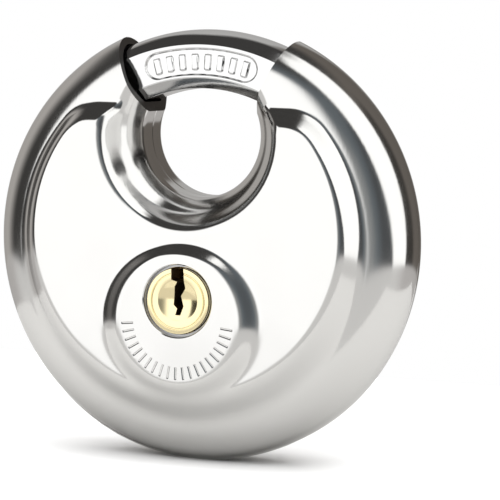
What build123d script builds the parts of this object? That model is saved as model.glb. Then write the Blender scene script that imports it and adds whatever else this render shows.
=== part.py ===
from build123d import *
from math import cos, degrees, radians, sin, sqrt, tan
import os

# Disc padlock, 70 mm class: two pressed stainless shells welded at the rim, a hardened shackle that
# swings round the disc's axis inside the rim, and a pin tumbler cylinder that drives it.
# Millimetres. X is to the right seen from the front, Y runs from front to back, Z is up.
# Everything is drawn with y = 0 on the weld seam, and export() moves it so that the origin lies on
# the disc's axis at the flat back face. Angles called "clock" run clockwise from the top, from the front.

# ---- driving dimensions ----
DISC_R = 35.0            # outer radius of the body
TUBE_R = 8.0             # rounded rim, half its thickness
WALL = 1.2               # shell sheet
FACE_Y = 11.0            # flat faces, front and back, from the seam
FACE_R, FACE_Z = 25.7, 1.4          # circle that bounds the raised face
FOOT_Y, FOOT_R = 6.8, 29.1          # where the raised face's flank runs out, inside the rim
TIP_Z, TIP_FOOT_Z = 19.0, 22.4      # level tops of the face's two tips, at the face and at the foot
TIP_R, TIP_FOOT_R = 2.1, 4.2        # rounding of the tips' corners, at the face and at the foot
FACE_EDGE_R = 0.9
THROAT_R, THROAT_Z = 9.8, 16.8      # narrowest part of the throat, and its height
THROAT_BEND_Y, THROAT_SLOPE, THROAT_BEND_R = 3.74, 30.0, 3.5   # its flared mouth
MOUTH_CLOCK = 24.5       # radial planes where the body ends, each side of the gap
PAD_Y, PAD_R, PAD_Z = 12.6, 10.3, -11.7     # raised pad round the cylinder
PAD_FOOT_Y, PAD_FOOT_Z = 8.0, -12.4
PAD_FOOT_HALF_X, PAD_FOOT_HALF_Z = 18.0, 15.3
PLUG_Z = -8.7            # axis of the cylinder
PLUG_HOLE_R = 5.65       # hole in the pad
HOLE_CHAMFER = 0.3
MARKS, MARK_R, MARK_LENGTH, MARK_WIDTH, MARK_DEPTH = 21, 8.3, 2.0, 0.4, 0.15   # plain strokes on the pad
MARK_CLOCK_0, MARK_CLOCK_1 = 96.0, 264.0

SHACKLE_IN_R = 24.1
SHACKLE_HALF = 4.75      # half of the distance between its flats
SHACKLE_OUT_R = 33.4
SHACKLE_FLAT_R, SHACKLE_BEVEL_R, SHACKLE_BEVEL_Y = 31.0, 32.4, 3.3   # its outer bevel
SHACKLE_CHAMFER = 1.7    # its inner bevel
TOE_CLOCK, TAIL_CLOCK = -37.5, 118.0
SWING = 64.0             # travel of the shackle from locked to open
PANEL_R, PANEL_HALF, PANEL_CLOCK, PANEL_DEPTH = 28.3, 2.0, 15.0, 0.35
PANEL_BARS, PANEL_BAR_WIDTH, PANEL_BAR_LENGTH = 8, 1.0, 2.4
STOP_CLOCKS = ((184.0, 194.0), (311.0, 322.0))
STOP_REAR_Y, STOP_GAP = 4.4, 0.05

PLUG_HEAD_R, PLUG_R = 5.2, 4.8
RUN = 0.05               # running clearance of turned parts
PLUG_FRONT_Y, PLUG_STEP_Y, PLUG_REAR_Y = -12.35, -9.0, 2.8
DISH_R, DISH_DEPTH = 3.3, 0.75
GROOVE_R, GROOVE_WIDTH, GROOVE_DEPTH = 4.35, 0.25, 0.12
HOUSING_R = 6.9
HOUSING_FRONT_Y, HOUSING_REAR_Y = -10.2, 2.6
DRILL_RING_FRONT_Y, DRILL_RING_OUT_R, DRILL_RING_IN_R = -11.3, 6.5, 5.3
BIBLE_HALF, BIBLE_FRONT_Y, BIBLE_TOP_Z = 2.6, -8.4, 2.3
COVER_T, COVER_HALF = 0.4, 2.4
PIN_R, CHAMBER_R = 1.15, 1.2
PIN_YS = (-6.6, -4.0, -1.4, 1.2)
KEY_PIN_LENGTHS = (3.2, 4.4, 3.8, 4.8)
CHAMBER_FLOOR_Z = PLUG_Z - 0.8
SHEAR_GAP = 0.05
DRIVER_LENGTH = 2.4
PIN_CHAMFER, KEY_PIN_TIP = 0.3, 0.6
SPRING_WIRE_R, SPRING_COIL_R, SPRING_TURNS = 0.14, 0.85, 5
# keyway section, seen from the front, from the plug's axis
KEYWAY = [
    (-1.2, 5.5), (-1.15, 3.3), (-0.2, 3.0), (-0.7, 2.2), (-0.9, -0.65), (-0.3, -1.25),
    (-0.5, -2.25), (0.36, -2.25), (0.76, -0.85), (0.3, 0.75), (1.1, 2.0), (0.8, 5.5),
]

CRANK_R = 4.9            # throw of the crank pin
CRANK_PIN_R, CRANK_PIN_END_Y = 1.3, 6.5
DRIVER_R, DRIVER_REAR_Y = 6.7, 4.6
DRIVER_SCREW_R, DRIVER_SCREW_HEAD_R, DRIVER_SCREW_HEAD_H, DRIVER_SCREW_LENGTH = 0.6, 1.05, 0.6, 3.6
DRIVER_SCREW_X, DRIVER_SCREW_Z = 2.9, -1.9          # from the plug's axis
PLATE_T = 1.5
PLATE_IN_R, PLATE_OUT_R = 18.0, 28.2
PLATE_CLOCK_0, PLATE_CLOCK_1 = 95.0, 160.0
ARM_HALF, ARM_END_R = 4.0, 6.4
SLOT_HALF, SLOT_R0, SLOT_R1 = 1.9, 10.1, 13.5
RIVET_R, RIVET_HEAD_R, RIVET_HEAD_H, RIVET_AT_R, RIVET_CLOCKS = 1.2, 1.9, 0.6, 26.2, (99.5, 111.5)
FRAME_R, FRAME_TOP_Z = 23.7, 16.0
FRAME_SPLIT_Y = 2.6
FRAME_GAP = 0.1          # between the frame and the shells
FIT = 0.05               # clearance of parts set into the frame
SWEEP_CLOCK_0, SWEEP_CLOCK_1, SWEEP_R, SWEEP_GAP = 92.0, 236.0, 12.0, 0.3
SCREW_R, SCREW_HEAD_R, SCREW_HEAD_H = 1.25, 2.2, 1.4
SCREW_FRONT_Y, SCREW_REAR_Y, SCREW_GAP = -4.0, 9.6, 0.02
SCREW_PLACES = ((-17.5, 2.0), (17.5, 2.0), (-18.5, -8.5))

# ---- worked out ----
PLUG_TURN = SWING * (CRANK_R - PLUG_Z) / CRANK_R   # turn of the plug for the whole swing
SLOT_CLOCK = 180.0 - SWING / 2                     # slot in the carrier plate, locked
CRANK_CLOCK = 180.0 - PLUG_TURN / 2                # crank pin round the plug, locked
RIM_R = DISC_R - TUBE_R
PLATE_Y0 = SHACKLE_HALF
PLATE_Y1 = SHACKLE_HALF + PLATE_T
SHEAR_Z = PLUG_Z + PLUG_R
DRIVER_PIN_Z = SHEAR_Z + SHEAR_GAP
SPRING_Z = DRIVER_PIN_Z + DRIVER_LENGTH
SEAM_Y = -FACE_Y                                   # the seam in the part's own frame


def polar(radius, clock):
    return radius * sin(radians(clock)), radius * cos(radians(clock))


def at_y(y):
    """Sketch plane across the lock at depth y, with its x to the right and its y up."""
    return Plane.XZ.offset(-y)


def rod_y(radius, y0, y1, x=0.0, z=0.0):
    return Pos(x, (y0 + y1) / 2, z) * Rot(90, 0, 0) * Cylinder(radius, y1 - y0)


def rod_z(radius, z0, z1, y):
    return Pos(0, y, (z0 + z1) / 2) * Cylinder(radius, z1 - z0)


def box_between(low, high):
    size = [b - a for a, b in zip(low, high)]
    middle = [(a + b) / 2 for a, b in zip(low, high)]
    return Pos(*middle) * Box(*size)


def slab(sketch, y0, y1):
    """A flat piece with the outline of sketch, from depth y0 back to y1."""
    return extrude(at_y(y1) * sketch, y1 - y0)


def sector(radius, clock0, clock1, y0, y1):
    """Pie slice round the disc's axis."""
    steps = [clock0 + (clock1 - clock0) * i / 8 for i in range(9)]
    far = radius / cos(radians((clock1 - clock0) / 16))
    points = [(0.0, 0.0)] + [polar(far, c) for c in steps]
    return slab(make_face(Polyline(*points, close=True)), y0, y1)


# ---- body forms ----
def throat(inset):
    """The space through the throat, flared towards both faces. A positive inset makes it larger."""
    slope = tan(radians(THROAT_SLOPE))
    radius = THROAT_R + inset
    bend_y = THROAT_BEND_Y - inset * (1 / cos(radians(THROAT_SLOPE)) - 1) / slope
    far_y = FACE_Y + 4
    far_r = radius + (far_y - bend_y) * slope
    outline = Polyline(
        (0, -far_y), (far_r, -far_y), (radius, -bend_y), (radius, bend_y), (far_r, far_y), (0, far_y), close=True
    )
    profile = make_face(outline)
    bends = [v for v in profile.vertices() if abs(v.X - radius) < 1e-6]
    profile = fillet(bends, THROAT_BEND_R - inset)
    placed = Plane(origin=(0, 0, THROAT_Z), x_dir=(1, 0, 0), z_dir=(0, 0, 1)) * profile
    return revolve(placed, Axis((0, 0, THROAT_Z), (0, 1, 0)))


def face_outline(radius, height, throat_radius, top_z, corner_r):
    """Outline of the raised face: a disc cut off level at the top, with the throat taken out of it."""
    outer_x = sqrt(radius**2 - (top_z - height) ** 2)
    inner_x = sqrt(throat_radius**2 - (top_z - THROAT_Z) ** 2)
    outside = ThreePointArc((outer_x, top_z), (0, height - radius), (-outer_x, top_z))
    inside = ThreePointArc((-inner_x, top_z), (0, THROAT_Z - throat_radius), (inner_x, top_z))
    left = Line((-outer_x, top_z), (-inner_x, top_z))
    right = Line((inner_x, top_z), (outer_x, top_z))
    face = make_face([outside, left, inside, right])
    return fillet(face.vertices(), corner_r)


def raised_face(side, inset, edge_radius):
    """The raised face and its flank. side is -1 at the front and 1 at the back."""
    slope = tan(radians(THROAT_SLOPE))
    widening = inset / cos(radians(THROAT_SLOPE))
    top_r = THROAT_R + widening + (FACE_Y - inset - THROAT_BEND_Y) * slope
    foot_r = THROAT_R + widening + (FOOT_Y - inset - THROAT_BEND_Y) * slope
    top = face_outline(FACE_R - 0.6 * inset, FACE_Z, top_r, TIP_Z - 0.6 * inset, TIP_R)
    foot = face_outline(FOOT_R - 0.6 * inset, 0.0, foot_r, TIP_FOOT_Z - 0.6 * inset, TIP_FOOT_R)
    block = loft([at_y(side * (FOOT_Y - inset)) * foot, at_y(side * (FACE_Y - inset)) * top], ruled=True)
    if edge_radius:
        rim = [e for e in block.edges() if abs(e.center().Y - side * (FACE_Y - inset)) < 1e-3]
        block = fillet(rim, edge_radius)
    return block


def pad_block(inset, edge_radius):
    """The raised pad round the cylinder."""
    less = 0.6 * inset
    top = at_y(-PAD_Y + inset) * Pos(0, PAD_Z) * Circle(PAD_R - less)
    oval = Ellipse(PAD_FOOT_HALF_X - less, PAD_FOOT_HALF_Z - less)
    foot = at_y(-PAD_FOOT_Y + inset) * Pos(0, PAD_FOOT_Z) * oval
    block = loft([foot, top], ruled=True)
    if edge_radius:
        rim = [e for e in block.edges() if abs(e.center().Y + PAD_Y - inset) < 1e-3]
        block = fillet(rim, edge_radius)
    return block


def body_form(inset=0.0, edge_radius=0.0):
    """The lock's outer shape without its gap, drawn in from the outside by inset."""
    tube = TUBE_R - inset
    disc = rod_y(RIM_R, -tube, tube)
    rim = Rot(90, 0, 0) * Torus(RIM_R, tube)
    base = disc + rim - throat(inset)
    return base + raised_face(-1, inset, edge_radius) + raised_face(1, inset, edge_radius) + pad_block(
        inset, edge_radius
    )


def gap():
    """The gap between the body's two mouths, where the shackle shows."""
    low_z, reach = 14.0, 60.0
    half = low_z * tan(radians(MOUTH_CLOCK))
    right = polar(reach, MOUTH_CLOCK)
    points = [(-half, low_z), (-right[0], right[1]), right, (half, low_z)]
    return slab(make_face(Polyline(*points, close=True)), -20, 20)


# ---- shells ----
def pad_marks():
    """Plain radial strokes round the lower half of the pad."""
    marks = []
    step = (MARK_CLOCK_1 - MARK_CLOCK_0) / (MARKS - 1)
    for i in range(MARKS):
        clock = MARK_CLOCK_0 + step * i
        x, z = polar(MARK_R, clock)
        stroke = Box(MARK_WIDTH, 2 * MARK_DEPTH, MARK_LENGTH)
        marks.append(Pos(x, -PAD_Y, PAD_Z + z) * Rot(0, clock, 0) * stroke)
    return marks


def shells():
    whole = body_form(0.0, FACE_EDGE_R) - body_form(WALL) - gap()
    front = whole & box_between((-50, -30, -50), (50, 0, 50))
    back = whole & box_between((-50, 0, -50), (50, 30, 50))
    front -= rod_y(PLUG_HOLE_R, -PAD_Y - 1, -FACE_Y + 3, 0, PLUG_Z)
    edges = front.edges().filter_by(GeomType.CIRCLE)
    hole = [e for e in edges if abs(e.radius - PLUG_HOLE_R) < 1e-3 and abs(e.center().Y + PAD_Y) < 1e-3]
    front = chamfer(hole, HOLE_CHAMFER)
    front -= pad_marks()
    return front, back


# ---- shackle and its carrier ----
def arc_bar(outline, clock0, clock1):
    """A bar bent round the disc's axis. Its section is given as (radius, y) points."""
    section = Plane(origin=(0, 0, 0), x_dir=(0, 0, 1), z_dir=(-1, 0, 0)) * make_face(outline)
    bar = revolve(section, Axis((0, 0, 0), (0, 1, 0)), revolution_arc=clock1 - clock0)
    return Rot(0, clock0, 0) * bar


def bar_outline(out_r, flat_r, bevel_r, bevel_y, in_r, chamfer_size, front_y, rear_y):
    front = Polyline(
        (bevel_r, -bevel_y), (flat_r, front_y), (in_r + chamfer_size, front_y),
        (in_r, front_y + chamfer_size), (in_r, rear_y - chamfer_size), (in_r + chamfer_size, rear_y),
        (flat_r, rear_y), (bevel_r, bevel_y),
    )
    return [front, ThreePointArc((bevel_r, bevel_y), (out_r, 0), (bevel_r, -bevel_y))]


def panel_outline(radius, half, clock):
    """Outline of the long rounded panel, bent round the disc's axis."""
    inner, outer = radius - half, radius + half
    end = clock + degrees(half / radius)
    pieces = [
        ThreePointArc(polar(inner, -clock), polar(inner, 0), polar(inner, clock)),
        ThreePointArc(polar(inner, clock), polar(radius, end), polar(outer, clock)),
        ThreePointArc(polar(outer, clock), polar(outer, 0), polar(outer, -clock)),
        ThreePointArc(polar(outer, -clock), polar(radius, -end), polar(inner, -clock)),
    ]
    return make_face(pieces)


def shackle():
    outline = bar_outline(
        SHACKLE_OUT_R, SHACKLE_FLAT_R, SHACKLE_BEVEL_R, SHACKLE_BEVEL_Y, SHACKLE_IN_R, SHACKLE_CHAMFER,
        -SHACKLE_HALF, SHACKLE_HALF,
    )
    bar = arc_bar(outline, TOE_CLOCK, TAIL_CLOCK)
    panel = slab(panel_outline(PANEL_R, PANEL_HALF, PANEL_CLOCK), -SHACKLE_HALF - 1, -SHACKLE_HALF + PANEL_DEPTH)
    bar -= panel
    step = 2 * PANEL_CLOCK / (PANEL_BARS - 1)
    for i in range(PANEL_BARS):
        clock = -PANEL_CLOCK + step * i
        x, z = polar(PANEL_R, clock)
        raised = Box(PANEL_BAR_WIDTH, 2 * PANEL_DEPTH, PANEL_BAR_LENGTH)
        bar += Pos(x, -SHACKLE_HALF + PANEL_DEPTH, z) * Rot(0, clock, 0) * raised
    for clock in RIVET_CLOCKS:
        x, z = polar(RIVET_AT_R, clock)
        bar -= rod_y(RIVET_R, 0, SHACKLE_HALF, x, z)
    return bar


def ring_outline(in_r, out_r, clock0, clock1):
    middle = (clock0 + clock1) / 2
    pieces = [
        ThreePointArc(polar(in_r, clock0), polar(in_r, middle), polar(in_r, clock1)),
        Line(polar(in_r, clock1), polar(out_r, clock1)),
        ThreePointArc(polar(out_r, clock1), polar(out_r, middle), polar(out_r, clock0)),
        Line(polar(out_r, clock0), polar(in_r, clock0)),
    ]
    return make_face(pieces)


def radial_slot(half, r0, r1, clock):
    """Outline of a slot along a radius, with round ends centred at r0 and r1."""
    middle = polar((r0 + r1) / 2, clock)
    return Pos(*middle) * Rot(0, 0, 90 - clock) * SlotCenterToCenter(r1 - r0, 2 * half)


def carrier_plate():
    arm = radial_slot(ARM_HALF, ARM_END_R + ARM_HALF, PLATE_IN_R + ARM_HALF, SLOT_CLOCK)
    outline = ring_outline(PLATE_IN_R, PLATE_OUT_R, PLATE_CLOCK_0, PLATE_CLOCK_1) + arm
    outline -= radial_slot(SLOT_HALF, SLOT_R0, SLOT_R1, SLOT_CLOCK)
    plate = slab(outline, PLATE_Y0, PLATE_Y1)
    for rivet in rivet_solids():
        plate -= rivet
    return plate


def rivet_solids():
    rivets = []
    for clock in RIVET_CLOCKS:
        x, z = polar(RIVET_AT_R, clock)
        head = rod_y(RIVET_HEAD_R, PLATE_Y1 - RIVET_HEAD_H, PLATE_Y1, x, z)
        rivets.append(rod_y(RIVET_R, 0, PLATE_Y1, x, z) + head)
    return rivets


def shackle_stops():
    """Blocks fixed in the rim that the two ends of the shackle come up against."""
    stops = []
    for clock0, clock1 in STOP_CLOCKS:
        outline = bar_outline(
            DISC_R - WALL - STOP_GAP, SHACKLE_FLAT_R, SHACKLE_BEVEL_R, SHACKLE_BEVEL_Y, SHACKLE_IN_R,
            SHACKLE_CHAMFER / 2, -SHACKLE_HALF, STOP_REAR_Y,
        )
        stops.append(arc_bar(outline, clock0, clock1))
    return stops


# ---- cylinder ----
def plug():
    body = rod_y(PLUG_HEAD_R, PLUG_FRONT_Y, PLUG_STEP_Y) + rod_y(PLUG_R, PLUG_STEP_Y, PLUG_REAR_Y)
    ball_r = (DISH_R**2 + DISH_DEPTH**2) / (2 * DISH_DEPTH)
    body -= Pos(0, PLUG_FRONT_Y + DISH_DEPTH - ball_r, 0) * Sphere(ball_r)
    groove = rod_y(GROOVE_R + GROOVE_WIDTH / 2, PLUG_FRONT_Y - 1, PLUG_FRONT_Y + GROOVE_DEPTH)
    groove -= rod_y(GROOVE_R - GROOVE_WIDTH / 2, PLUG_FRONT_Y - 1, PLUG_FRONT_Y + GROOVE_DEPTH)
    body -= groove
    body -= slab(make_face(Polyline(*KEYWAY, close=True)), PLUG_FRONT_Y - 1, PLUG_REAR_Y + 1)
    for y in PIN_YS:
        body -= rod_z(CHAMBER_R, CHAMBER_FLOOR_Z - PLUG_Z, PLUG_R + 1, y)
    for screw in driver_screws():
        body -= Pos(0, 0, -PLUG_Z) * screw
    return Pos(0, 0, PLUG_Z) * body


def driver_screws():
    screws = []
    front_y = DRIVER_REAR_Y - DRIVER_SCREW_LENGTH
    for x in (-DRIVER_SCREW_X, DRIVER_SCREW_X):
        z = PLUG_Z + DRIVER_SCREW_Z
        head = rod_y(DRIVER_SCREW_HEAD_R, DRIVER_REAR_Y - DRIVER_SCREW_HEAD_H, DRIVER_REAR_Y, x, z)
        screws.append(rod_y(DRIVER_SCREW_R, front_y, DRIVER_REAR_Y, x, z) + head)
    return screws


def crank_pin():
    x, z = polar(CRANK_R, CRANK_CLOCK)
    return rod_y(CRANK_PIN_R, PLUG_REAR_Y, CRANK_PIN_END_Y, x, PLUG_Z + z)


def plug_driver():
    disc = rod_y(DRIVER_R, PLUG_REAR_Y, DRIVER_REAR_Y, 0, PLUG_Z) - crank_pin()
    for screw in driver_screws():
        disc -= screw
    return disc


def bible(clearance=0.0):
    """Outline of the cylinder's housing, its round part and its pin chamber block, with its y range."""
    low = (-BIBLE_HALF - clearance, BIBLE_FRONT_Y - clearance, PLUG_Z)
    high = (BIBLE_HALF + clearance, HOUSING_REAR_Y + clearance, BIBLE_TOP_Z + clearance)
    return box_between(low, high)


def cylinder_housing():
    body = rod_y(HOUSING_R, HOUSING_FRONT_Y, HOUSING_REAR_Y, 0, PLUG_Z) + bible()
    body -= rod_y(PLUG_R + RUN, HOUSING_FRONT_Y - 1, HOUSING_REAR_Y + 1, 0, PLUG_Z)
    body -= rod_y(PLUG_HEAD_R + RUN, HOUSING_FRONT_Y - 1, PLUG_STEP_Y + RUN, 0, PLUG_Z)
    for y in PIN_YS:
        body -= rod_z(CHAMBER_R, PLUG_Z, BIBLE_TOP_Z + 1, y)
    return body


def drill_ring():
    ring = rod_y(DRILL_RING_OUT_R, DRILL_RING_FRONT_Y, HOUSING_FRONT_Y, 0, PLUG_Z)
    return ring - rod_y(DRILL_RING_IN_R, DRILL_RING_FRONT_Y - 1, HOUSING_FRONT_Y + 1, 0, PLUG_Z)


def chamber_cover():
    low = (-COVER_HALF, BIBLE_FRONT_Y, BIBLE_TOP_Z)
    high = (COVER_HALF, HOUSING_REAR_Y, BIBLE_TOP_Z + COVER_T)
    return box_between(low, high)


def key_pin(length, y):
    top_z = SHEAR_Z - SHEAR_GAP
    pin = rod_z(PIN_R, top_z - length, top_z, y)
    pin = chamfer(pin.edges().group_by(Axis.Z)[-1], PIN_CHAMFER)
    return chamfer(pin.edges().group_by(Axis.Z)[0], KEY_PIN_TIP)


def driver_pin(y):
    pin = rod_z(PIN_R, DRIVER_PIN_Z, SPRING_Z, y)
    return chamfer(pin.edges().group_by(Axis.Z)[-1], PIN_CHAMFER)


def spring(y):
    height = BIBLE_TOP_Z - SPRING_Z - 2 * SPRING_WIRE_R
    path = Helix(height / SPRING_TURNS, height, SPRING_COIL_R)
    wire = sweep(Plane(origin=path @ 0, z_dir=path % 0) * Circle(SPRING_WIRE_R), path, is_frenet=True)
    return Pos(0, y, SPRING_Z + SPRING_WIRE_R) * wire


# ---- frame ----
def frame_form():
    room = body_form(WALL + FRAME_GAP) & rod_y(FRAME_R, -20, 20)
    return room & box_between((-50, -20, -50), (50, 20, FRAME_TOP_Z))


def frame_screws():
    screws = []
    for x, z in SCREW_PLACES:
        head = rod_y(SCREW_HEAD_R, SCREW_REAR_Y - SCREW_HEAD_H, SCREW_REAR_Y, x, z)
        screws.append(rod_y(SCREW_R, SCREW_FRONT_Y, SCREW_REAR_Y, x, z) + head)
    return screws


def frames():
    room = frame_form()
    front = room & box_between((-50, -20, -50), (50, FRAME_SPLIT_Y, 50))
    rear = room & box_between((-50, FRAME_SPLIT_Y, -50), (50, 20, 50))
    front -= rod_y(HOUSING_R + FIT, -20, 20, 0, PLUG_Z)
    front -= bible(FIT)
    front -= Pos(0, 0, COVER_T) * bible(FIT)
    rear -= rod_y(DRIVER_R + SWEEP_GAP, FRAME_SPLIT_Y - 1, PLATE_Y0, 0, PLUG_Z)
    low_y, high_y = PLATE_Y0 - SWEEP_GAP, PLATE_Y1 + SWEEP_GAP
    rear -= sector(FRAME_R + 5, SWEEP_CLOCK_0, SWEEP_CLOCK_1, low_y, high_y)
    rear -= rod_y(SWEEP_R, low_y, high_y)
    rear -= rod_y(CRANK_R + CRANK_PIN_R + SWEEP_GAP, low_y, CRANK_PIN_END_Y + SWEEP_GAP, 0, PLUG_Z)
    for x, z in SCREW_PLACES:
        front -= rod_y(SCREW_R + SCREW_GAP, SCREW_FRONT_Y, 20, x, z)
        rear -= rod_y(SCREW_R + SCREW_GAP, -20, 20, x, z)
        rear -= rod_y(SCREW_HEAD_R + FIT, SCREW_REAR_Y - SCREW_HEAD_H, 20, x, z)
    return front, rear


def export(name, solids):
    os.makedirs("parts", exist_ok=True)
    moved = [solid.moved(Location((0, SEAM_Y, 0))) for solid in solids]
    shape = moved[0] if len(moved) == 1 else Compound(children=moved)
    export_step(shape, f"parts/{name}.step")


def one(shape):
    """The single solid of a shape."""
    solids = shape.solids()
    assert len(solids) == 1, f"{len(solids)} solids"
    return solids[0]


def main():
    front_shell, back_shell = shells()
    front_frame, rear_frame = frames()
    single = {
        "front_shell": front_shell,
        "back_shell": back_shell,
        "front_frame": front_frame,
        "rear_frame": rear_frame,
        "shackle": shackle(),
        "carrier_plate": carrier_plate(),
        "plug": plug(),
        "plug_driver": plug_driver(),
        "crank_pin": crank_pin(),
        "cylinder_housing": cylinder_housing(),
        "drill_ring": drill_ring(),
        "chamber_cover": chamber_cover(),
    }
    for number, (length, y) in enumerate(zip(KEY_PIN_LENGTHS, PIN_YS), 1):
        single[f"key_pin_{number}"] = key_pin(length, y)
        single[f"driver_pin_{number}"] = driver_pin(y)
        single[f"pin_spring_{number}"] = spring(y)
    for name, shape in single.items():
        export(name, [one(shape)])
    export("carrier_rivets", [one(rivet) for rivet in rivet_solids()])
    export("driver_screws", [one(screw) for screw in driver_screws()])
    export("frame_screws", [one(screw) for screw in frame_screws()])
    export("shackle_stops", [one(stop) for stop in shackle_stops()])


if __name__ == "__main__":
    main()
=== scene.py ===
import math

import bmesh
import bpy
import numpy as np
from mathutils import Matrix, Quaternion, Vector


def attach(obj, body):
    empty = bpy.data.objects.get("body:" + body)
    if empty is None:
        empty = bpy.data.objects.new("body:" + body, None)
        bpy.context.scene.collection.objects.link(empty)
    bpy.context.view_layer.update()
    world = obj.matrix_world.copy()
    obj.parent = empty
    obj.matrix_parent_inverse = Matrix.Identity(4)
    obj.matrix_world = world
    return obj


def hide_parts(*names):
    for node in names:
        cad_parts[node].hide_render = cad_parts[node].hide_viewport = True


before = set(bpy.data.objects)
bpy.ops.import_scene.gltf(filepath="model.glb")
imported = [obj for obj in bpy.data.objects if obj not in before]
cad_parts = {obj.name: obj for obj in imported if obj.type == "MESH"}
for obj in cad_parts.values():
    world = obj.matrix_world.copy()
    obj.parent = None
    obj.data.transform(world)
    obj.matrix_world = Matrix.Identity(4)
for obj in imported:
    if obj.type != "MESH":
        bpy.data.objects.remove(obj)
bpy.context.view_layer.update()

MM = 0.001
SEAM_Y = -11.0          # the weld seam's depth in the part's frame, mm

# ---- sizes of the body's outer form, mm, the same as in the CAD model ----
DISC_R, TUBE_R, WALL = 35.0, 8.0, 1.2
RIM_R = DISC_R - TUBE_R
FACE_Y, FACE_R, FACE_Z = 11.0, 25.7, 1.4
FOOT_Y, FOOT_R = 6.8, 29.1
TIP_Z, TIP_FOOT_Z = 19.0, 22.4
THROAT_R, THROAT_Z = 9.8, 16.8
THROAT_BEND_Y, THROAT_SLOPE, THROAT_BEND_R = 3.74, math.radians(30.0), 3.5
MOUTH = math.radians(24.5)
PAD_Y, PAD_R, PAD_Z = 12.6, 10.3, -11.7
PAD_FOOT_Y, PAD_FOOT_Z, PAD_FOOT_X, PAD_FOOT_H = 8.0, -12.4, 18.0, 15.3
PLUG_Z, PLUG_HOLE_R = -8.7, 5.65
LEAN = 0.6               # share of the wall's thickness by which a sloping wall's inside moves in

# ---- details of the body that are finer or softer than in the CAD model, mm ----
MARKS, MARK_R, MARK_LENGTH, MARK_WIDTH, MARK_DEPTH = 21, 8.3, 2.0, 0.38, 0.09
MARK_CLOCKS = (96.0, 264.0)
MARK_SLOPE = 0.15        # how far each wall of a mark leans in over its depth
PLUG_HOLE_LIP = 0.16
SEAM_HALF, SEAM_NOTCH = 0.18, 0.06
THROAT_SIDE_ROUND, TIP_ROUND, FACE_ROUND = 2.4, 3.6, 1.0   # widths of the soft edges
RIM_ROUND, PAD_ROUND, PAD_EDGE_ROUND, FLARE_ROUND = 0.8, 0.45, 0.5, 2.6

# ---- how finely the shells are meshed, and from what angle an edge is sharp ----
SHARP, CUT_SHARP = math.radians(35.0), math.radians(24.0)
LINE_STEPS, WALL_STEPS = 1600, 40
GATHER, BLUR, BLUR_WIDTH = 0.35, 12, 5.0   # how much the points gather at turns, and how smoothly

# ---- sizes of the shackle, mm and degrees ----
PANEL_R, PANEL_HALF, PANEL_CLOCK, PANEL_DEPTH, PANEL_BARS = 28.3, 2.0, 15.0, 0.35, 8
BAR_WIDTH, BAR_LENGTH, BAR_CORNER = 1.0, 2.4, 0.25
PANEL_EDGE, BAR_EDGE, BAR_HEIGHT = 0.30, 0.22, 0.95  # edge widths in mm, and share of the panel's depth
TOE_CLOCK, TAIL_CLOCK, FINE_CLOCK = -37.5, 118.0, 20.5
FLAT_IN_R, FLAT_OUT_R, FLAT_Y = 25.8, 31.0, 4.75
INSIDE_R, INSIDE_Y = 24.1, 3.05
INSIDE_EDGE, OUTSIDE_EDGE = 0.35, 0.30   # radii of the section's rounded edges
BOW_MIDDLE, BOW_R, BOW_HALF_ANGLE, BOW_END_R, BOW_END_Y = 27.45, 5.95, math.radians(33.2), 32.4, 3.3

# ---- sizes of the plug, mm ----
KEYWAY = [
    (-1.2, 5.5), (-1.15, 3.3), (-0.2, 3.0), (-0.7, 2.2), (-0.9, -0.65), (-0.3, -1.25),
    (-0.5, -2.25), (0.36, -2.25), (0.76, -0.85), (0.3, 0.75), (1.1, 2.0), (0.8, 5.5),
]
PLUG_FRONT_Y, PLUG_STEP_Y, PLUG_REAR_Y, PLUG_HEAD_R, PLUG_R = -12.35, -9.0, 2.8, 5.2, 4.8
DISH_R, DISH_DEPTH, GROOVE_R = 3.3, 0.75, 4.35
PIN_DEPTHS, CHAMBER_R, CHAMBER_FLOOR = (-6.6, -4.0, -1.4, 1.2), 1.2, -0.8


# ---- helpers ----
def to_frame(points):
    """Millimetres about the weld seam to metres in the part's frame."""
    moved = np.array(points, dtype=float)
    moved[..., 1] += SEAM_Y
    return moved * MM


def smooth_min(a, b, width):
    """The smaller of two heights, with a soft change where they are less than the width apart."""
    overlap = np.maximum(width - np.abs(a - b), 0.0)
    return np.minimum(a, b) - overlap * overlap / (4 * width)


def smooth_max(a, b, width):
    return -smooth_min(-a, -b, width)


def new_object(name, verts, faces, material=None):
    """A smooth object in the scene, with hard edges where its faces turn sharply."""
    mesh = bpy.data.meshes.new(name)
    mesh.from_pydata([tuple(v) for v in verts], [], faces)
    mesh.validate()
    obj = bpy.data.objects.new(name, mesh)
    bpy.context.scene.collection.objects.link(obj)
    if material:
        mesh.materials.append(material)
    mesh.shade_smooth()
    mesh.set_sharp_from_angle(angle=SHARP)
    return obj


def grid_faces(rows, columns, first=0, close_columns=False):
    """Quads of a grid of vertices stored row by row."""
    faces = []
    last = columns if close_columns else columns - 1
    for i in range(rows - 1):
        for j in range(last):
            k = (j + 1) % columns
            a, b = first + i * columns + j, first + i * columns + k
            c, d = b + columns, a + columns
            faces.append((a, b, c, d))
    return faces


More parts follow.
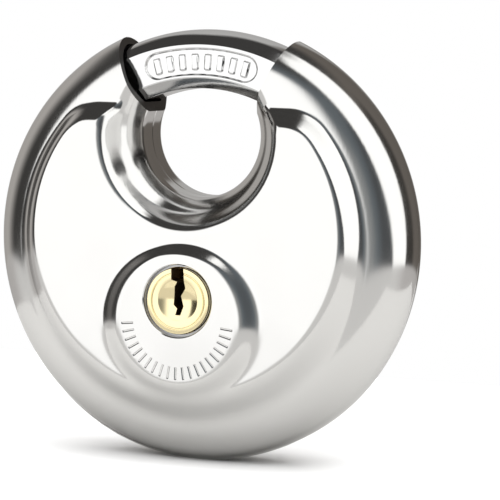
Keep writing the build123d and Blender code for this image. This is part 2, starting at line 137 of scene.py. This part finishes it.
# ---- the body's height over the seam plane ----
def face_height(x, z, inset, throat):
    """The raised face with its sloping flank, and the sloping tops of its two tips."""
    drop = FACE_Y - FOOT_Y
    grow = (FOOT_R - FACE_R) / drop
    sink = FACE_Z / drop
    radius = FACE_R - LEAN * inset
    up = z - FACE_Z
    # the flank is a circle that grows and sinks with depth, so its depth solves a quadratic
    a = grow**2 - sink**2
    b = 2 * (radius * grow - up * sink)
    c = radius**2 - x**2 - up**2
    below = (-b + np.sqrt(np.maximum(b * b - 4 * a * c, 0.0))) / (2 * a)
    flank = FACE_Y - inset - below
    tip = FACE_Y - inset - (z - TIP_Z + LEAN * inset) * drop / (TIP_FOOT_Z - TIP_Z)
    flat = np.full_like(x, FACE_Y - inset)
    sides = smooth_min(smooth_min(flank, tip, TIP_ROUND), throat, THROAT_SIDE_ROUND)
    return smooth_min(sides, flat, FACE_ROUND)


def pad_height(x, z, inset):
    """The raised pad round the cylinder: a cone from a circle to an oval."""
    # share is 0 at the pad's top edge, 1 at its foot and more beyond it, and is found by halving
    low, high = np.full_like(x, -1.5), np.full_like(x, 9.0)
    less = LEAN * inset
    for _ in range(36):
        share = (low + high) / 2
        across = PAD_R - less + (PAD_FOOT_X - PAD_R) * share
        tall = PAD_R - less + (PAD_FOOT_H - PAD_R) * share
        middle = PAD_Z + (PAD_FOOT_Z - PAD_Z) * share
        outside = (x / across) ** 2 + ((z - middle) / tall) ** 2 > 1
        low = np.where(outside, share, low)
        high = np.where(outside, high, share)
    cone = PAD_Y - inset - (PAD_Y - PAD_FOOT_Y) * low
    return smooth_min(cone, np.full_like(x, PAD_Y - inset), PAD_EDGE_ROUND)


def throat_height(x, z, inset):
    """Height at which the flared wall of the throat passes over a point, and where the flare starts."""
    radius = THROAT_R + inset
    bend = THROAT_BEND_R - inset
    slope = math.tan(THROAT_SLOPE)
    bend_y = THROAT_BEND_Y - inset * (1 / math.cos(THROAT_SLOPE) - 1) / slope
    start_y = bend_y - bend * math.tan(THROAT_SLOPE / 2)
    away = np.hypot(x, z - THROAT_Z) - radius
    arc_end = bend * (1 - math.cos(THROAT_SLOPE))
    arc = start_y + np.sqrt(np.maximum(bend**2 - (bend - np.minimum(away, arc_end)) ** 2, 0.0))
    cone = bend_y + away / slope
    return np.where(away < arc_end, arc, cone), start_y


def body_height(x, z, inset, pad):
    """Height over the seam plane of the outside (inset 0) or the inside (inset WALL)."""
    tube = TUBE_R - inset
    out = np.maximum(np.hypot(x, z) - RIM_R, 0.0)
    rim = np.sqrt(np.maximum(tube**2 - out**2, 0.0))
    throat, _ = throat_height(x, z, inset)
    height = smooth_max(rim, face_height(x, z, inset, throat), RIM_ROUND)
    if pad:
        height = smooth_max(height, pad_height(x, z, inset), PAD_ROUND)
    return smooth_min(height, throat, FLARE_ROUND)


def waist_and_rim(rays, inset):
    """The throat's waist and the rim as matching rows of (x, z) points, from mouth to mouth."""
    radius = THROAT_R + inset
    cos_m = math.cos(MOUTH)
    reach = THROAT_Z * cos_m + math.sqrt((THROAT_Z * cos_m) ** 2 - THROAT_Z**2 + radius**2)
    start = math.atan2(reach * math.sin(MOUTH), reach * cos_m - THROAT_Z)
    s = np.linspace(0, 1, rays)
    alpha = start + s * (2 * math.pi - 2 * start)
    beta = MOUTH + s * (2 * math.pi - 2 * MOUTH)
    waist = np.stack([radius * np.sin(alpha), THROAT_Z + radius * np.cos(alpha)], axis=1)
    rim_r = DISC_R - inset
    rim = np.stack([rim_r * np.sin(beta), rim_r * np.cos(beta)], axis=1)
    return waist, rim


def body_lines(rays, inset, pad):
    """Closely spaced points up the throat's wall and over the face to the rim, for each ray."""
    waist, rim = waist_and_rim(rays, inset)
    share = (1 - np.cos(np.linspace(0, math.pi, LINE_STEPS))) / 2
    flat = waist[:, None, :] + share[None, :, None] * (rim - waist)[:, None, :]
    height = body_height(flat[..., 0], flat[..., 1], inset, pad)
    height[:, -1] = 0.0
    _, start_y = throat_height(np.zeros(1), np.zeros(1), inset)
    rise = np.linspace(0, start_y, WALL_STEPS, endpoint=False)
    x = np.concatenate([np.repeat(waist[:, :1], WALL_STEPS, 1), flat[..., 0]], axis=1)
    z = np.concatenate([np.repeat(waist[:, 1:], WALL_STEPS, 1), flat[..., 1]], axis=1)
    y = np.concatenate([np.repeat(rise[None, :], rays, 0), height], axis=1)
    if inset == 0:
        notch = np.clip(1 - y / SEAM_HALF, 0.0, 1.0) * SEAM_NOTCH
        at_rim = np.hypot(x, z) > RIM_R
        from_z = np.where(at_rim, 0.0, THROAT_Z)
        away = np.hypot(x, z - from_z)
        grow = 1 + np.where(at_rim, -1.0, 1.0) * notch / away
        x, z = x * grow, from_z + (z - from_z) * grow
    return np.stack([x, y, z], axis=2)


def body_grid(rays, across, inset, pad):
    """One half of the body as a grid. Points gather where it turns, and drift smoothly from ray to ray."""
    points = body_lines(rays, inset, pad)
    step = np.diff(points, axis=1)
    length = np.linalg.norm(step, axis=2) + 1e-9
    unit = step / length[..., None]
    turn = np.linalg.norm(np.diff(unit, axis=1), axis=2)
    turn = np.concatenate([turn[:, :1] * 0, turn], axis=1)
    along = np.concatenate([np.zeros((rays, 1)), np.cumsum(length, axis=1)], axis=1)
    along /= along[:, -1:]
    even = np.linspace(0, 1, 400)
    total_turn = np.cumsum(turn, axis=1)
    density = np.empty((rays, even.size))
    for i in range(rays):
        cumulative = np.interp(even, along[i, 1:], total_turn[i])
        density[i] = np.gradient(cumulative, even)
    kernel = np.exp(-0.5 * (np.arange(-BLUR, BLUR + 1) / BLUR_WIDTH) ** 2)
    kernel /= kernel.sum()
    for axis in (0, 1):
        margins = [(0, 0), (0, 0)]
        margins[axis] = (BLUR, BLUR)
        padded = np.pad(density, margins, "edge")
        density = np.apply_along_axis(lambda line: np.convolve(line, kernel, "valid"), axis, padded)
    density = 1.0 + GATHER * density
    grid = np.empty((rays, across, 3))
    target = np.linspace(0, 1, across)
    for i in range(rays):
        cumulative = np.concatenate([[0], np.cumsum((density[i, 1:] + density[i, :-1]) / 2)])
        cumulative /= cumulative[-1]
        where = np.interp(target, cumulative, even)
        for axis in range(3):
            grid[i, :, axis] = np.interp(where, along[i], points[i, :, axis])
    return grid


def shell_object(name, front, material, rays=420, across=150):
    """One closed half of the body: outside, inside, the edges at the seam and the two mouth ends."""
    outer = body_grid(rays, across, 0.0, front)
    inner = body_grid(rays, across, WALL, front)
    if front:
        outer[..., 1] *= -1
        inner[..., 1] *= -1
    verts = np.concatenate([outer.reshape(-1, 3), inner.reshape(-1, 3)])
    n = rays * across
    faces = grid_faces(rays, across) + grid_faces(rays, across, n)
    for i in range(rays - 1):
        a, b = i * across, (i + 1) * across
        faces.append((a, b, b + n, a + n))
        a, b = a + across - 1, b + across - 1
        faces.append((b, a, a + n, b + n))
    for j in range(across - 1):
        a = (rays - 1) * across + j
        faces.append((j + 1, j, j + n, j + n + 1))
        faces.append((a, a + 1, a + n + 1, a + n))
    obj = new_object(name, to_frame(verts), faces, material)
    # the two mouth ends take a near-black steel: painted shade for the wall's ends, which lie in shadow
    obj.data.materials.append(mouth_painted_shade)
    mouth_faces = 2 * (across - 1)
    for face in list(obj.data.polygons)[-mouth_faces:]:
        face.material_index = 1
    outward(obj)
    return obj


def cut(obj, cutters):
    """Cuts the cutters' shapes out of the object and removes the cutters."""
    bpy.context.view_layer.update()
    for cutter in cutters:
        modifier = obj.modifiers.new("cut", "BOOLEAN")
        modifier.operation = "DIFFERENCE"
        modifier.solver = "EXACT"
        modifier.material_mode = "TRANSFER"
        modifier.object = cutter
    shapes = bpy.context.evaluated_depsgraph_get()
    mesh = bpy.data.meshes.new_from_object(obj.evaluated_get(shapes))
    obj.modifiers.clear()
    obj.data = mesh
    for cutter in cutters:
        bpy.data.objects.remove(cutter)
    mesh.shade_smooth()
    mesh.set_sharp_from_angle(angle=CUT_SHARP)


def outward(obj):
    """Turns a closed piece's faces outwards."""
    mesh = bmesh.new()
    mesh.from_mesh(obj.data)
    bmesh.ops.recalc_face_normals(mesh, faces=mesh.faces)
    mesh.to_mesh(obj.data)
    mesh.free()


def prism_faces(n):
    """Faces of a prism whose first n vertices are one end and whose next n are the other."""
    ends = [tuple(range(n)), tuple(range(2 * n - 1, n - 1, -1))]
    return ends + [(i, i + n, (i + 1) % n + n, (i + 1) % n) for i in range(n)]


def prism(name, one_end, other_end, material):
    """A closed piece between two outlines with the same number of points."""
    obj = new_object(name, to_frame(one_end + other_end), prism_faces(len(one_end)), material)
    outward(obj)
    return obj


def lathe_y(name, profile, z, material, turns=160):
    """A closed piece turned from (radius, y) points, which start and end on the axis."""
    angles = np.linspace(0, 2 * math.pi, turns, endpoint=False)
    verts = [(0.0, profile[0][1], z)]
    for radius, y in profile[1:-1]:
        verts += [(radius * math.sin(a), y, z + radius * math.cos(a)) for a in angles]
    verts.append((0.0, profile[-1][1], z))
    rows = len(profile) - 2
    faces = grid_faces(rows, turns, 1, close_columns=True)
    last = 1 + (rows - 1) * turns
    for k in range(turns):
        faces.append((0, 1 + k, 1 + (k + 1) % turns))
        faces.append((len(verts) - 1, last + (k + 1) % turns, last + k))
    obj = new_object(name, to_frame(verts), faces, material)
    outward(obj)
    return obj


# ---- materials ----
def principled(name, color, metallic, roughness):
    material = bpy.data.materials.new(name)
    material.use_nodes = True
    shader = material.node_tree.nodes["Principled BSDF"]
    shader.inputs["Base Color"].default_value = (*color, 1)
    shader.inputs["Metallic"].default_value = metallic
    shader.inputs["Roughness"].default_value = roughness
    return material, material.node_tree, shader


def noise(tree, vector, scale, detail):
    """A noise texture's value at the vector."""
    node = tree.nodes.new("ShaderNodeTexNoise")
    node.inputs["Scale"].default_value = scale
    node.inputs["Detail"].default_value = detail
    tree.links.new(vector, node.inputs["Vector"])
    return node.outputs["Fac"]


def polished_steel(name, color, rough_low, rough_high):
    """Polished metal with cloudy gloss and a faint brushed grain along Z."""
    material, tree, shader = principled(name, color, 1.0, (rough_low + rough_high) / 2)
    shader.inputs["Specular Tint"].default_value = (0.80, 0.80, 0.80, 1)
    coords = tree.nodes.new("ShaderNodeTexCoord").outputs["Object"]
    gloss = tree.nodes.new("ShaderNodeMapRange")
    gloss.inputs["From Min"].default_value = 0.3
    gloss.inputs["From Max"].default_value = 0.7
    gloss.inputs["To Min"].default_value = rough_low
    gloss.inputs["To Max"].default_value = rough_high
    tree.links.new(noise(tree, coords, 90.0, 4.0), gloss.inputs["Value"])
    tree.links.new(gloss.outputs["Result"], shader.inputs["Roughness"])
    stretch = tree.nodes.new("ShaderNodeMapping")
    stretch.inputs["Scale"].default_value = (2500.0, 2500.0, 130.0)
    tree.links.new(coords, stretch.inputs["Vector"])
    bump = tree.nodes.new("ShaderNodeBump")
    bump.inputs["Strength"].default_value = 0.02
    bump.inputs["Distance"].default_value = 0.0002
    tree.links.new(noise(tree, stretch.outputs["Vector"], 1.0, 2.0), bump.inputs["Height"])
    tree.links.new(bump.outputs["Normal"], shader.inputs["Normal"])
    return material


steel = polished_steel("stainless", (0.70, 0.695, 0.685), 0.09, 0.15)
chrome = polished_steel("shackle_chrome", (0.72, 0.72, 0.72), 0.07, 0.12)
dull_steel = polished_steel("ground_steel", (0.50, 0.50, 0.51), 0.28, 0.40)
zinc = polished_steel("zinc_casting", (0.46, 0.47, 0.49), 0.45, 0.60)
brass = polished_steel("plug_brass", (0.91, 0.79, 0.49), 0.12, 0.20)
housing_brass = polished_steel("housing_brass", (0.75, 0.58, 0.30), 0.25, 0.35)
# painted shade: near-black steel for the shells' mouth ends, standing in for the shadow there
mouth_painted_shade = polished_steel("mouth_painted_shade", (0.13, 0.125, 0.12), 0.30, 0.45)


# ---- shells ----
def marks_cutter():
    """All the struck marks at once: troughs with sloping walls and a narrow floor."""
    verts, faces = [], []
    proud = 0.05
    levels = ((-PAD_Y - proud, -MARK_SLOPE * proud / MARK_DEPTH), (-PAD_Y + MARK_DEPTH, MARK_SLOPE))
    first_clock, last_clock = MARK_CLOCKS
    for i in range(MARKS):
        clock = math.radians(first_clock + (last_clock - first_clock) * i / (MARKS - 1))
        out = Vector((math.sin(clock), math.cos(clock)))
        side = Vector((out.y, -out.x))
        middle = Vector((0, PAD_Z)) + out * MARK_R
        first = len(verts)
        for y, lean in levels:
            half_length, half_width = MARK_LENGTH / 2 - lean, MARK_WIDTH / 2 - lean
            for u, v in ((-1, -1), (1, -1), (1, 1), (-1, 1)):
                point = middle + out * (u * half_length) + side * (v * half_width)
                verts.append((point.x, y, point.y))
        faces += [tuple(first + k for k in face) for face in prism_faces(4)]
    obj = new_object("marks_cutter", to_frame(verts), faces)
    outward(obj)
    return obj


front_shell = shell_object("front_shell_skin", True, steel)
hole = [(0.0, -PAD_Y - 1.0), (PLUG_HOLE_R + PLUG_HOLE_LIP + 1.0, -PAD_Y - 1.0)]
hole += [(PLUG_HOLE_R, -PAD_Y + PLUG_HOLE_LIP), (PLUG_HOLE_R, -PAD_Y + WALL + 1.0)]
hole += [(0.0, -PAD_Y + WALL + 1.0)]
cut(front_shell, [lathe_y("hole_cutter", hole, PLUG_Z, steel), marks_cutter()])
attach(front_shell, "body")
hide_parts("front_shell")

back_shell = shell_object("back_shell_skin", False, steel)
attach(back_shell, "body")
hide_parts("back_shell")


# ---- shackle ----
def rounded_loop(corners, steps=5):
    """A closed outline. Each corner is (a, b, radius), and a corner with a radius is rounded."""
    points = []
    n = len(corners)
    for i, (a, b, radius) in enumerate(corners):
        here = Vector((a, b))
        if radius == 0:
            points.append(here)
            continue
        before = (Vector(corners[i - 1][:2]) - here).normalized()
        after = (Vector(corners[(i + 1) % n][:2]) - here).normalized()
        half = before.angle(after) / 2
        reach = radius / math.tan(half)
        centre = here + (before + after).normalized() * (radius / math.sin(half))
        start, end = here + before * reach - centre, here + after * reach - centre
        sweep = start.angle(end)
        for k in range(steps + 1):
            share = k / steps
            mixed = start * math.sin((1 - share) * sweep) + end * math.sin(share * sweep)
            points.append(centre + mixed / math.sin(sweep))
    return [(p.x, p.y) for p in points]


def smooth_step(value):
    """0 below 0, 1 above 1, and an even change between them."""
    value = np.clip(value, 0.0, 1.0)
    return value * value * (3 - 2 * value)


def panel_relief(radius, clock):
    """How deep the shackle's front face is pressed in at a point, mm. Angles in degrees."""
    past = np.maximum(np.abs(clock) - PANEL_CLOCK, 0.0)
    across = radius - PANEL_R * np.cos(np.radians(past))
    along = PANEL_R * np.sin(np.radians(past))
    outside = np.hypot(across, along) - PANEL_HALF
    depth = PANEL_DEPTH * smooth_step(0.5 - outside / PANEL_EDGE)
    for i in range(PANEL_BARS):
        middle = -PANEL_CLOCK + 2 * PANEL_CLOCK * i / (PANEL_BARS - 1)
        u = np.abs(np.radians(clock - middle) * radius) - (BAR_WIDTH / 2 - BAR_CORNER)
        v = np.abs(radius - PANEL_R) - (BAR_LENGTH / 2 - BAR_CORNER)
        away = np.hypot(np.maximum(u, 0), np.maximum(v, 0)) + np.minimum(np.maximum(u, v), 0) - BAR_CORNER
        depth -= PANEL_DEPTH * BAR_HEIGHT * smooth_step(0.5 - away / BAR_EDGE)
    return np.maximum(depth, 0.0)


def shackle_object(name, material):
    """The bar as a grid of its section, (radius, depth) points, turned about the disc's axis."""
    sweep = np.linspace(-BOW_HALF_ANGLE, BOW_HALF_ANGLE, 25)
    bow = [(BOW_MIDDLE + BOW_R * math.cos(a), BOW_R * math.sin(a)) for a in sweep]
    front_edges = [(FLAT_IN_R, -FLAT_Y), (FLAT_OUT_R, -FLAT_Y), (BOW_END_R, -BOW_END_Y)]
    corners = [(INSIDE_R, INSIDE_Y, INSIDE_EDGE), (INSIDE_R, -INSIDE_Y, INSIDE_EDGE)]
    corners += [(r, y, OUTSIDE_EDGE) for r, y in front_edges]
    corners += [(r, y, 0.0) for r, y in bow[1:-1]]
    corners += [(r, -y, OUTSIDE_EDGE) for r, y in reversed(front_edges)]
    outline = rounded_loop(corners)
    loop = []
    for (r0, y0), (r1, y1) in zip(outline, outline[1:] + outline[:1]):
        loop.append((r0, y0))
        on_front_flat = y0 == y1 and r1 - r0 > 3.0 and y0 < 0
        if on_front_flat:
            loop += [(float(r), y0) for r in np.linspace(r0, r1, 50)[1:-1]]
    toe = np.linspace(TOE_CLOCK, -FINE_CLOCK, 14)[:-1]
    fine = np.linspace(-FINE_CLOCK, FINE_CLOCK, 216)
    tail = np.linspace(FINE_CLOCK, TAIL_CLOCK, 80)[1:]
    clocks = np.concatenate([toe, fine, tail])
    radius = np.array([p[0] for p in loop])[None, :].repeat(clocks.size, 0)
    depth = np.array([p[1] for p in loop])[None, :].repeat(clocks.size, 0)
    turn = clocks[:, None].repeat(len(loop), 1)
    on_front = np.abs(depth + FLAT_Y) < 1e-6
    depth = depth + np.where(on_front, panel_relief(radius, turn), 0.0)
    x, z = radius * np.sin(np.radians(turn)), radius * np.cos(np.radians(turn))
    verts = np.stack([x, depth, z], axis=2).reshape(-1, 3)
    rows, columns = clocks.size, len(loop)
    faces = grid_faces(rows, columns, 0, close_columns=True)
    faces.append(tuple(range(columns - 1, -1, -1)))
    faces.append(tuple(range((rows - 1) * columns, rows * columns)))
    obj = new_object(name, to_frame(verts), faces, material)
    outward(obj)
    return obj


shackle = shackle_object("shackle_bar_skin", chrome)
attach(shackle, "shackle")
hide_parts("shackle")


# ---- plug ----
def plug_profile():
    """The turned outline from the dished front to the rear, as (radius, depth) points."""
    ball = (DISH_R**2 + DISH_DEPTH**2) / (2 * DISH_DEPTH)
    floor_y = PLUG_FRONT_Y + DISH_DEPTH
    profile = [(r, floor_y - ball + math.sqrt(ball**2 - r**2)) for r in np.linspace(0, DISH_R - 0.06, 16)]
    profile += [(DISH_R, PLUG_FRONT_Y + 0.01), (DISH_R + 0.08, PLUG_FRONT_Y)]
    for r, y in ((-0.16, 0.0), (-0.09, 0.10), (0.0, 0.13), (0.09, 0.10), (0.16, 0.0)):
        profile.append((GROOVE_R + r, PLUG_FRONT_Y + y))
    profile += [(PLUG_HEAD_R - 0.22, PLUG_FRONT_Y), (PLUG_HEAD_R - 0.08, PLUG_FRONT_Y + 0.05)]
    profile += [(PLUG_HEAD_R, PLUG_FRONT_Y + 0.2), (PLUG_HEAD_R, PLUG_STEP_Y)]
    profile += [(PLUG_R, PLUG_STEP_Y), (PLUG_R, PLUG_REAR_Y), (0.0, PLUG_REAR_Y)]
    return profile


plug = lathe_y("plug_turned", plug_profile(), PLUG_Z, brass)
# painted shade: a dark brass that the cutters pass to the walls of the keyway and pin chambers, where shade
# falls deep inside the plug
painted_keyway_shade, _, _ = principled("keyway_painted_shade", (0.16, 0.11, 0.06), 1.0, 0.55)
keyway_ends = [[(x, y, PLUG_Z + z) for x, z in KEYWAY] for y in (PLUG_FRONT_Y - 1, PLUG_REAR_Y + 1)]
cutters = [prism("keyway_cutter", *keyway_ends, painted_keyway_shade)]
for i, y in enumerate(PIN_DEPTHS):
    angles = np.linspace(0, 2 * math.pi, 33)[:-1]
    ring = [(CHAMBER_R * math.sin(a), y + CHAMBER_R * math.cos(a)) for a in angles]
    chamber_ends = [[(x, d, z) for x, d in ring] for z in (PLUG_Z + CHAMBER_FLOOR, PLUG_Z + PLUG_R + 1)]
    cutters.append(prism(f"chamber_cutter_{i}", *chamber_ends, painted_keyway_shade))
cut(plug, cutters)
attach(plug, "plug")
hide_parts("plug")


# ---- CAD pieces that stay get their materials ----
looks = {
    "cylinder_housing": housing_brass, "chamber_cover": housing_brass,
    "front_frame": zinc, "rear_frame": zinc,
}
for name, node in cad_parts.items():
    if name in ("front_shell", "back_shell", "shackle", "plug"):
        continue
    material = looks.get(name, housing_brass if name.startswith("key_pin") else dull_steel)
    node.data.materials.clear()
    node.data.materials.append(material)


# ---- camera at the photograph's angle ----
AZIMUTH, ELEVATION, ROLL = math.radians(20.8), math.radians(4.9), math.radians(1.4)
DISTANCE, LENS, SHIFT = 0.390, 176.202, (0.0854, -0.0208)
reach = math.cos(ELEVATION)
back = Vector((math.sin(AZIMUTH) * reach, -math.cos(AZIMUTH) * reach, math.sin(ELEVATION)))
aim = Vector((0, SEAM_Y * MM, 0))
camera = bpy.data.cameras.new("camera")
camera.sensor_width = 36.0
camera.lens = LENS
camera.shift_x, camera.shift_y = SHIFT
camera.clip_start = 0.01
camera_object = bpy.data.objects.new("camera", camera)
camera_object.location = aim + back * DISTANCE
tilt = Quaternion((0, 0, 1), ROLL)
camera_object.rotation_euler = (back.to_track_quat("Z", "Y") @ tilt).to_euler()
bpy.context.scene.collection.objects.link(camera_object)
bpy.context.scene.camera = camera_object

# ---- floor: a small table, so that reflections beyond its edge come from the studio ----
floor_mesh = bpy.data.meshes.new("floor")
floor_z = -DISC_R * MM
table = [(-0.10, -0.062), (0.12, -0.062), (0.12, 0.09), (-0.10, 0.09)]
floor_mesh.from_pydata([(x, y, floor_z) for x, y in table], [], [tuple(range(len(table)))])
floor = bpy.data.objects.new("floor", floor_mesh)
bpy.context.scene.collection.objects.link(floor)
pale, pale_tree, pale_shader = principled("floor_pale", (0.86, 0.86, 0.86), 0.0, 0.9)
# reflections see a greyer table than the camera does, as in a studio with a lit backdrop
ray = pale_tree.nodes.new("ShaderNodeLightPath")
shade = pale_tree.nodes.new("ShaderNodeMix")
shade.data_type = "RGBA"
shade.inputs["A"].default_value = (0.86, 0.86, 0.86, 1)
shade.inputs["B"].default_value = (0.53, 0.525, 0.515, 1)
pale_tree.links.new(ray.outputs["Is Glossy Ray"], shade.inputs["Factor"])
pale_tree.links.new(shade.outputs["Result"], pale_shader.inputs["Base Color"])
floor_mesh.materials.append(pale)


# ---- studio: soft boxes and dark flags round the object, fixed in the part's frame ----
class Sky:
    """Builds the world's colour from the direction (x, y, z), with small arithmetic helpers."""

    def __init__(self):
        self.world = bpy.data.worlds.new("studio")
        bpy.context.scene.world = self.world
        self.world.use_nodes = True
        self.tree = self.world.node_tree
        self.tree.nodes.clear()
        coords = self.tree.nodes.new("ShaderNodeTexCoord")
        split = self.tree.nodes.new("ShaderNodeSeparateXYZ")
        self.tree.links.new(coords.outputs["Generated"], split.inputs["Vector"])
        self.x, self.y, self.z = (split.outputs[axis] for axis in "XYZ")

    def math(self, operation, a, b=0.0):
        node = self.tree.nodes.new("ShaderNodeMath")
        node.operation = operation
        for socket, value in zip(node.inputs, (a, b)):
            if isinstance(value, (int, float)):
                socket.default_value = value
            else:
                self.tree.links.new(value, socket)
        return node.outputs[0]

    def side(self, a, b, c, d, soft):
        """1 where a*x + b*y + c*z + d is over zero, 0 where it is under, with a soft edge."""
        total = self.math("ADD", self.math("MULTIPLY", self.x, a), d)
        total = self.math("ADD", total, self.math("MULTIPLY", self.y, b))
        total = self.math("ADD", total, self.math("MULTIPLY", self.z, c))
        node = self.tree.nodes.new("ShaderNodeMapRange")
        node.interpolation_type = "SMOOTHSTEP"
        node.inputs["From Min"].default_value = -soft
        node.inputs["From Max"].default_value = soft
        self.tree.links.new(total, node.inputs["Value"])
        return node.outputs["Result"]

    def panel(self, under, sides, color):
        """Lays one panel over the colours so far. Each side is a row of numbers for side()."""
        share = self.side(*sides[0])
        for row in sides[1:]:
            share = self.math("MULTIPLY", share, self.side(*row))
        mix = self.tree.nodes.new("ShaderNodeMix")
        mix.data_type = "RGBA"
        self.tree.links.new(share, mix.inputs["Factor"])
        if isinstance(under, tuple):
            mix.inputs["A"].default_value = (*under, 1)
        else:
            self.tree.links.new(under, mix.inputs["A"])
        mix.inputs["B"].default_value = (*color, 1)
        return mix.outputs["Result"]


def edge(azimuth, inside, soft):
    """A side() row for an upright edge. Azimuths are in degrees from -Y towards +X."""
    turn = math.radians(azimuth + 90 if inside == "right" else azimuth - 90)
    return math.sin(turn), -math.cos(turn), 0.0, 0.0, soft


def under(elevation, soft):
    """A side() row for what is below an elevation in degrees."""
    return 0.0, 0.0, -1.0, math.sin(math.radians(elevation)), soft


def over(elevation, soft):
    """A side() row for what is above an elevation in degrees."""
    return 0.0, 0.0, 1.0, -math.sin(math.radians(elevation)), soft


CEILING = (0.058, 0.056, 0.054)
TALL_BOX = [
    (0.386, 1, 0.386, 0.0, 0.045), (0.31, -1, 0.08, 0.0, 0.035), (1, 0.12, 0, -0.10, 0.05), under(80, 0.02),
]
PANELS = [
    # blue-grey flag in front, to the right: lighter beside the camera and darker towards the tall box
    ([edge(-4, "right", 0.10), edge(112, "left", 0.05), under(52, 0.12)], (0.145, 0.165, 0.18)),
    ([edge(0, "right", 0.05), edge(28, "left", 0.16), under(24, 0.22)], (0.32, 0.33, 0.33)),
    ([edge(42, "right", 0.14), edge(112, "left", 0.05), under(52, 0.12)], (0.085, 0.09, 0.095)),
    # left wall, which brightens away from the flag beside the front soft box, and the back wall
    ([edge(-92, "left", 0.30), (-1, 0, 0, 0.06, 0.10), under(36, 0.13)], (0.54, 0.515, 0.49)),
    ([edge(-140, "left", 0.06), (-1, 0, 0, 0.03, 0.10), under(59, 0.06)], (0.60, 0.59, 0.575)),
    # warm dark wall behind, to the right
    ([edge(104, "right", 0.04), (1, 0, 0, 0.03, 0.06), under(58, 0.10)], (0.17, 0.152, 0.135)),
    ([edge(104, "right", 0.02), edge(132, "left", 0.12), under(46, 0.10)], (0.06, 0.055, 0.05)),
    # soft box in front, to the left of the camera
    ([edge(-54, "right", 0.045), edge(11, "left", 0.15), under(40, 0.07)], (1.46, 1.46, 1.45)),
    # tall soft box on the right, which runs over the top
    (TALL_BOX, (1.48, 1.48, 1.46)),
    # below the table's edge
    ([under(-9.5, 0.02)], (0.78, 0.77, 0.755)),
    ([under(-9.5, 0.02), edge(-84, "left", 0.30), over(-48, 0.15)], (0.60, 0.58, 0.565)),
]

sky = Sky()
tone = CEILING
for sides, color in PANELS:
    tone = sky.panel(tone, sides, color)
# the camera itself sees a plain white backdrop
path = sky.tree.nodes.new("ShaderNodeLightPath")
seen = sky.tree.nodes.new("ShaderNodeMix")
seen.data_type = "RGBA"
sky.tree.links.new(path.outputs["Is Camera Ray"], seen.inputs["Factor"])
sky.tree.links.new(tone, seen.inputs["A"])
seen.inputs["B"].default_value = (1, 1, 1, 1)
background = sky.tree.nodes.new("ShaderNodeBackground")
sky.tree.links.new(seen.outputs["Result"], background.inputs["Color"])
output = sky.tree.nodes.new("ShaderNodeOutputWorld")
sky.tree.links.new(background.outputs["Background"], output.inputs["Surface"])

key = bpy.data.lights.new("overhead", "SUN")
key.angle = math.radians(100.0)
key.energy = 4.6
key_object = bpy.data.objects.new("overhead", key)
key_object.rotation_euler = (math.radians(8.0), 0.0, 0.0)
key_object.visible_glossy = False
bpy.context.scene.collection.objects.link(key_object)

bpy.context.scene.view_settings.view_transform = "Standard"
